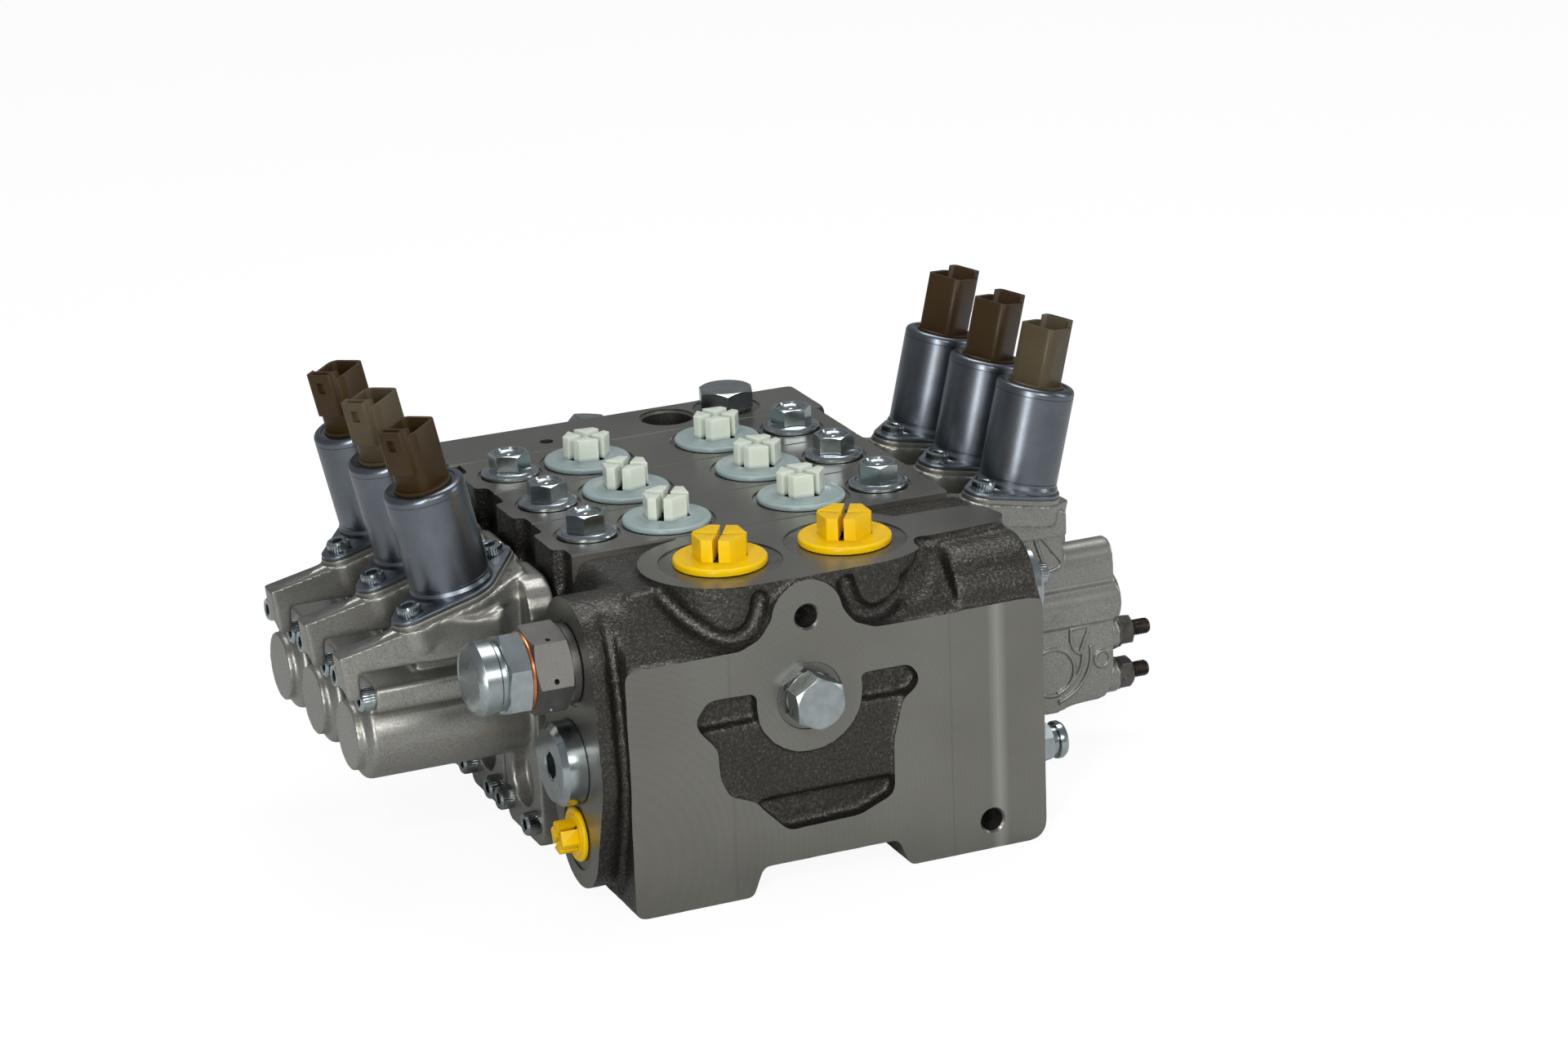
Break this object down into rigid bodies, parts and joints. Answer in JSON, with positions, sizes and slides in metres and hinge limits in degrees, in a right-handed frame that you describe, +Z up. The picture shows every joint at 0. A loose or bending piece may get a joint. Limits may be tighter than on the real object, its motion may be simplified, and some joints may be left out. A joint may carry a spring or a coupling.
{
  "type": "hydraulic load sensing directional valve",
  "caption": "Stacked mobile directional valve: inlet element, spool sections and end element with pilot caps, solenoids, relief valve and plugged ports.",
  "frame": {"origin": "centre of the footprint of the whole valve, on the plane of its feet", "axes": "+X along the spools from side A (spring barrels) to side B (limit screws); +Y from the front face to the rear; +Z up through the port plugs"},
  "size_m": [0.3116, 0.222, 0.1602],
  "materials": {
    "casting": "rough grey iron casting, machined flat on its tops, fronts and seats",
    "pilot_cap": "die-cast, fine grained",
    "solenoid_can": "drawn steel can, satin bluish zinc",
    "connector_brown": "brown and olive moulded polyamide",
    "contact_pin": "tinned contact pin",
    "yellow_plug": "glossy yellow polyethylene",
    "white_plug": "milky natural polyethylene",
    "grey_steel": "phosphated grey steel",
    "copper": "soft copper sealing ring",
    "ground_steel": "ground and hardened steel",
    "spring_steel": "round spring wire",
    "black_screw": "blackened screw steel",
    "seal_rubber": "nitrile sealing ring",
    "zinc_plated": "bright bluish zinc plating"
  },
  "bodies": {
    "valve": {"inlet_element": "casting", "section_1": "casting", "section_2": "casting", "section_3": "casting", "end_element": "casting", "cap_a_1": "pilot_cap", "cap_a_2": "pilot_cap", "cap_a_3": "pilot_cap", "cap_b_1": "pilot_cap", "cap_b_2": "pilot_cap", "cap_b_3": "pilot_cap", "solenoid_a_1": "solenoid_can", "solenoid_a_2": "solenoid_can", "solenoid_a_3": "solenoid_can", "solenoid_b_1": "solenoid_can", "solenoid_b_2": "solenoid_can", "solenoid_b_3": "solenoid_can", "connectors_a": "connector_brown", "connectors_b": "connector_brown", "connector_pins": "contact_pin", "plug_p": "yellow_plug", "plug_t": "yellow_plug", "work_plugs_a": "white_plug", "work_plugs_b": "white_plug", "plug_ls": "yellow_plug", "relief_body": "grey_steel", "relief_cap": "zinc_plated", "relief_washer": "copper", "compensator_plug": "zinc_plated", "hex_port_plugs": "zinc_plated", "side_round_plug": "zinc_plated", "side_fitting": "zinc_plated", "flange_plugs": "zinc_plated", "solenoid_screws": "zinc_plated", "cap_screws_a": "zinc_plated", "cap_screws_b": "zinc_plated", "spring_seats": "ground_steel", "lever_shafts": "ground_steel", "limit_nuts": "black_screw", "tie_rods": "zinc_plated", "tie_rod_nuts": "zinc_plated", "section_seals": "seal_rubber"},
    "compensator_body": {"compensator_spool": "ground_steel", "compensator_spring": "spring_steel"},
    "spool_1_body": {"spool_1": "ground_steel", "centring_spring_1": "spring_steel"},
    "stroke_lever_1_body": {"stroke_lever_1": "ground_steel"},
    "limit_screw_1_upper_body": {"limit_screw_1_upper": "black_screw"},
    "limit_screw_1_lower_body": {"limit_screw_1_lower": "black_screw"},
    "spool_2_body": {"spool_2": "ground_steel", "centring_spring_2": "spring_steel"},
    "stroke_lever_2_body": {"stroke_lever_2": "ground_steel"},
    "limit_screw_2_upper_body": {"limit_screw_2_upper": "black_screw"},
    "limit_screw_2_lower_body": {"limit_screw_2_lower": "black_screw"},
    "spool_3_body": {"spool_3": "ground_steel", "centring_spring_3": "spring_steel"},
    "stroke_lever_3_body": {"stroke_lever_3": "ground_steel"},
    "limit_screw_3_upper_body": {"limit_screw_3_upper": "black_screw"},
    "limit_screw_3_lower_body": {"limit_screw_3_lower": "black_screw"}
  },
  "joints": [
    {"name": "spool_1_slide", "type": "slide", "parent": "valve", "child": "spool_1_body", "axis": [1, 0, 0], "range_m": [-0.007, 0.007], "stiffness_N_per_m": 20000, "deforming": ["centring_spring_1"]},
    {"name": "stroke_lever_1_swing", "type": "hinge", "parent": "valve", "child": "stroke_lever_1_body", "pos_m": [0.11295, -0.0226, 0.03], "axis": [0, 1, 0], "range_deg": [-20.77, 20.77]},
    {"name": "spool_2_slide", "type": "slide", "parent": "valve", "child": "spool_2_body", "axis": [1, 0, 0], "range_m": [-0.007, 0.007], "stiffness_N_per_m": 20000, "deforming": ["centring_spring_2"]},
    {"name": "stroke_lever_2_swing", "type": "hinge", "parent": "valve", "child": "stroke_lever_2_body", "pos_m": [0.11295, 0.0154, 0.03], "axis": [0, 1, 0], "range_deg": [-20.77, 20.77]},
    {"name": "spool_3_slide", "type": "slide", "parent": "valve", "child": "spool_3_body", "axis": [1, 0, 0], "range_m": [-0.007, 0.007], "stiffness_N_per_m": 20000, "deforming": ["centring_spring_3"]},
    {"name": "stroke_lever_3_swing", "type": "hinge", "parent": "valve", "child": "stroke_lever_3_body", "pos_m": [0.11295, 0.0534, 0.03], "axis": [0, 1, 0], "range_deg": [-20.77, 20.77]},
    {"name": "compensator_slide", "type": "slide", "parent": "valve", "child": "compensator_body", "axis": [1, 0, 0], "range_m": [0, 0.008], "stiffness_N_per_m": 3000, "deforming": ["compensator_spring"]},
    {"name": "limit_screw_1_upper_adjust", "type": "slide", "parent": "valve", "child": "limit_screw_1_upper_body", "axis": [1, 0, 0], "range_m": [0, 0.003]},
    {"name": "limit_screw_1_lower_adjust", "type": "slide", "parent": "valve", "child": "limit_screw_1_lower_body", "axis": [1, 0, 0], "range_m": [0, 0.003]},
    {"name": "limit_screw_2_upper_adjust", "type": "slide", "parent": "valve", "child": "limit_screw_2_upper_body", "axis": [1, 0, 0], "range_m": [0, 0.003]},
    {"name": "limit_screw_2_lower_adjust", "type": "slide", "parent": "valve", "child": "limit_screw_2_lower_body", "axis": [1, 0, 0], "range_m": [0, 0.003]},
    {"name": "limit_screw_3_upper_adjust", "type": "slide", "parent": "valve", "child": "limit_screw_3_upper_body", "axis": [1, 0, 0], "range_m": [0, 0.003]},
    {"name": "limit_screw_3_lower_adjust", "type": "slide", "parent": "valve", "child": "limit_screw_3_lower_body", "axis": [1, 0, 0], "range_m": [0, 0.003]}
  ],
  "couplings": [
    {"joint": "stroke_lever_1_swing", "follows": "spool_1_slide", "rad_per_m": 51.282},
    {"joint": "stroke_lever_2_swing", "follows": "spool_2_slide", "rad_per_m": 51.282},
    {"joint": "stroke_lever_3_swing", "follows": "spool_3_slide", "rad_per_m": 51.282}
  ]
}
